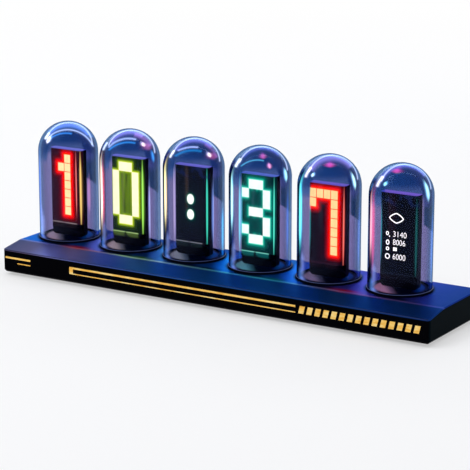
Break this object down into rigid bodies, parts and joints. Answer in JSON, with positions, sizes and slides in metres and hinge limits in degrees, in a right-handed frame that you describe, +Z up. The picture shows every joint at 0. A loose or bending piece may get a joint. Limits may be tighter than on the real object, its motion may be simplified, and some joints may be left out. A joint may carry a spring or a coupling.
{
  "type": "digital clock",
  "caption": "Digital desk clock: a row of clear glass domes, each over an upright pixel display, on a long low base with a sloped front band and gold trim.",
  "frame": {"origin": "centre of the clock's outline, on the plane its rubber feet rest on", "axes": "+X along the row of domes, to the right seen from the front; -Y towards the front, where the displays face; +Z up"},
  "size_m": [0.2364, 0.0522, 0.074],
  "materials": {
    "cover_blue": "satin metallic blue, slightly violet along the sloped band",
    "case_black": "gloss black",
    "gold_foil": "bright gold, slightly brushed",
    "foot_rubber": "matt",
    "screw_steel": "zinc-plated",
    "board_laminate": "solder-masked laminate",
    "module_metal": "tinned can",
    "cell_steel": "polished",
    "holder_plastic": "moulded",
    "socket_plastic": "moulded",
    "light_body": "white reflector body",
    "switch_plastic": "moulded",
    "socket_metal": "nickel-plated shell",
    "carrier_laminate": "black solder-masked laminate",
    "button_plastic": "fine moulded texture",
    "ring_black": "near-black navy",
    "disc_clear": "frosted clear, lavender grey",
    "dome_glass": "clear with a blue-violet tint",
    "display_black": "gloss black",
    "panel_dark": "dark screen",
    "display_glass": "dark gloss glass with rounded upright edges"
  },
  "bodies": {
    "base": {"top_cover": "cover_blue", "lower_case": "case_black", "rear_panel": "case_black", "gold_lines": "gold_foil", "gold_bars": "gold_foil", "rubber_feet": "foot_rubber", "case_screws": "screw_steel", "main_board": "board_laminate", "board_screws": "screw_steel", "controller_module": "module_metal", "coin_cell": "cell_steel", "coin_cell_holder": "holder_plastic", "display_sockets": "socket_plastic", "colour_lights": "light_body", "push_switches": "switch_plastic", "usb_socket": "socket_metal", "display_carriers": "carrier_laminate", "seat_ring_1": "ring_black", "light_disc_1": "disc_clear", "display_housing_1": "display_black", "display_panel_1": "panel_dark", "display_glass_1": "display_glass", "seat_ring_2": "ring_black", "light_disc_2": "disc_clear", "display_housing_2": "display_black", "display_panel_2": "panel_dark", "display_glass_2": "display_glass", "seat_ring_3": "ring_black", "light_disc_3": "disc_clear", "display_housing_3": "display_black", "display_panel_3": "panel_dark", "display_glass_3": "display_glass", "seat_ring_4": "ring_black", "light_disc_4": "disc_clear", "display_housing_4": "display_black", "display_panel_4": "panel_dark", "display_glass_4": "display_glass", "seat_ring_5": "ring_black", "light_disc_5": "disc_clear", "display_housing_5": "display_black", "display_panel_5": "panel_dark", "display_glass_5": "display_glass", "seat_ring_6": "ring_black", "light_disc_6": "disc_clear", "display_housing_6": "display_black", "display_panel_6": "panel_dark", "display_glass_6": "display_glass"},
    "dome_1": {"glass_dome_1": "dome_glass"},
    "dome_2": {"glass_dome_2": "dome_glass"},
    "dome_3": {"glass_dome_3": "dome_glass"},
    "dome_4": {"glass_dome_4": "dome_glass"},
    "dome_5": {"glass_dome_5": "dome_glass"},
    "dome_6": {"glass_dome_6": "dome_glass"},
    "button_left": {"button_left": "button_plastic"},
    "button_mode": {"button_mode": "button_plastic"},
    "button_right": {"button_right": "button_plastic"}
  },
  "joints": [
    {"name": "dome_1_lift", "type": "slide", "parent": "base", "child": "dome_1", "axis": [0, 0, 1], "range_m": [0, 0.065]},
    {"name": "dome_2_lift", "type": "slide", "parent": "base", "child": "dome_2", "axis": [0, 0, 1], "range_m": [0, 0.065]},
    {"name": "dome_3_lift", "type": "slide", "parent": "base", "child": "dome_3", "axis": [0, 0, 1], "range_m": [0, 0.065]},
    {"name": "dome_4_lift", "type": "slide", "parent": "base", "child": "dome_4", "axis": [0, 0, 1], "range_m": [0, 0.065]},
    {"name": "dome_5_lift", "type": "slide", "parent": "base", "child": "dome_5", "axis": [0, 0, 1], "range_m": [0, 0.065]},
    {"name": "dome_6_lift", "type": "slide", "parent": "base", "child": "dome_6", "axis": [0, 0, 1], "range_m": [0, 0.065]},
    {"name": "button_left_press", "type": "slide", "parent": "base", "child": "button_left", "axis": [0, -1, 0], "range_m": [0, 0.0005], "stiffness_N_per_m": 1200, "springref_m": -0.0004},
    {"name": "button_mode_press", "type": "slide", "parent": "base", "child": "button_mode", "axis": [0, -1, 0], "range_m": [0, 0.0005], "stiffness_N_per_m": 1200, "springref_m": -0.0004},
    {"name": "button_right_press", "type": "slide", "parent": "base", "child": "button_right", "axis": [0, -1, 0], "range_m": [0, 0.0005], "stiffness_N_per_m": 1200, "springref_m": -0.0004}
  ]
}
